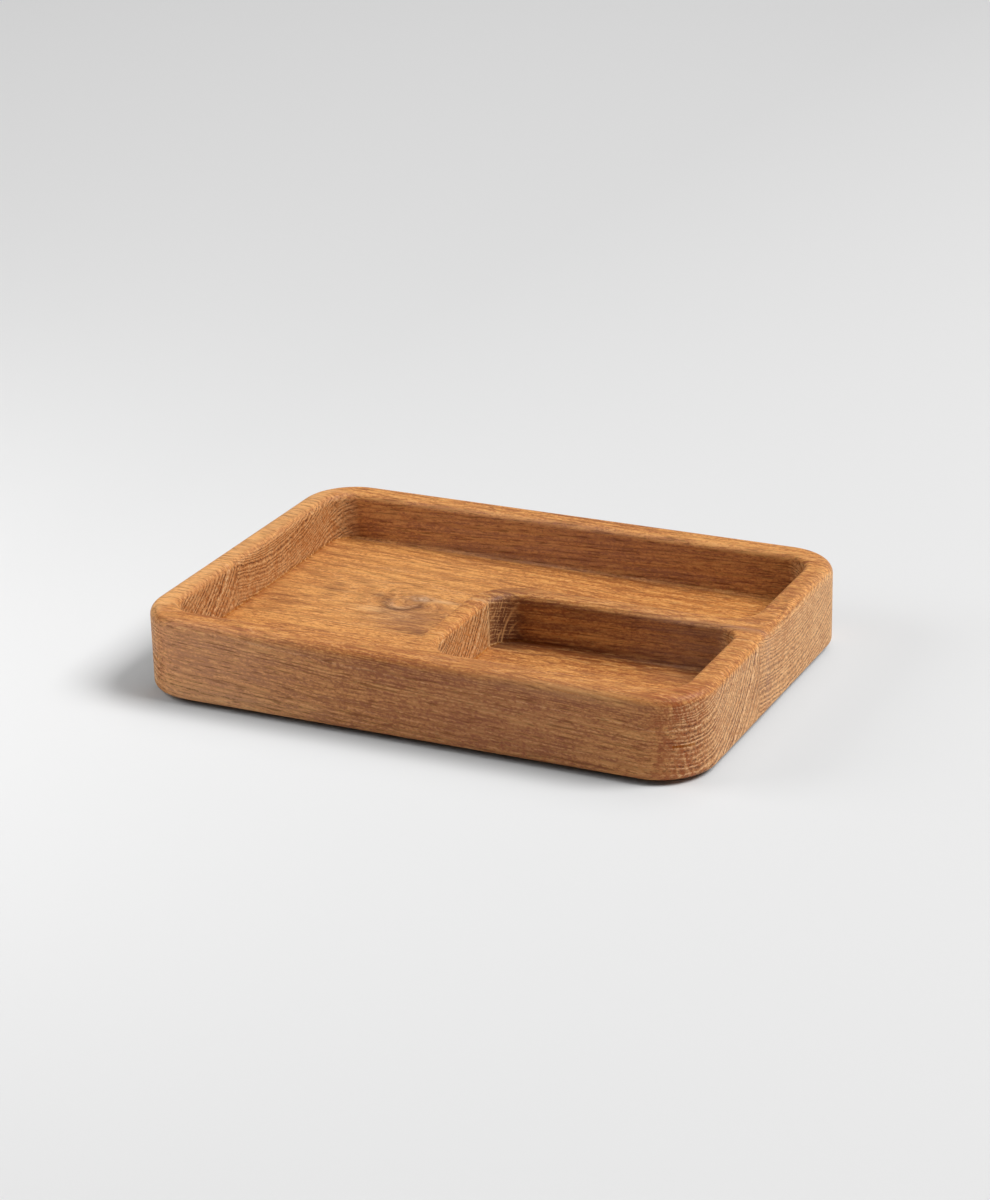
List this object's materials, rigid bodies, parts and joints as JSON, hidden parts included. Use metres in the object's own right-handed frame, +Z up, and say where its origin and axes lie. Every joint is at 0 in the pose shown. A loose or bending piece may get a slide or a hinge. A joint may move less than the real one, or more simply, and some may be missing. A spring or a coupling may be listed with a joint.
{
  "type": "desk tray",
  "caption": "Thick-walled oak catch-all tray with rounded corners, an L-shaped pocket wrapped round a small rectangular pocket, standing on low rubber feet.",
  "frame": {"origin": "on the table, under the middle of the tray's outline", "axes": "+X to the right along the grain, -Y out of the front face, +Z up out of the pockets"},
  "size_m": [0.25, 0.176, 0.037],
  "materials": {
    "oak_front": "oiled oak, satin",
    "oak_rear": "oiled oak, satin",
    "foot_rubber": "matt moulded rubber"
  },
  "bodies": {
    "root": {"front_stave": "oak_front", "rear_stave": "oak_rear", "foot_front_left": "foot_rubber", "foot_front_right": "foot_rubber", "foot_rear_left": "foot_rubber", "foot_rear_right": "foot_rubber"}
  },
  "joints": []
}
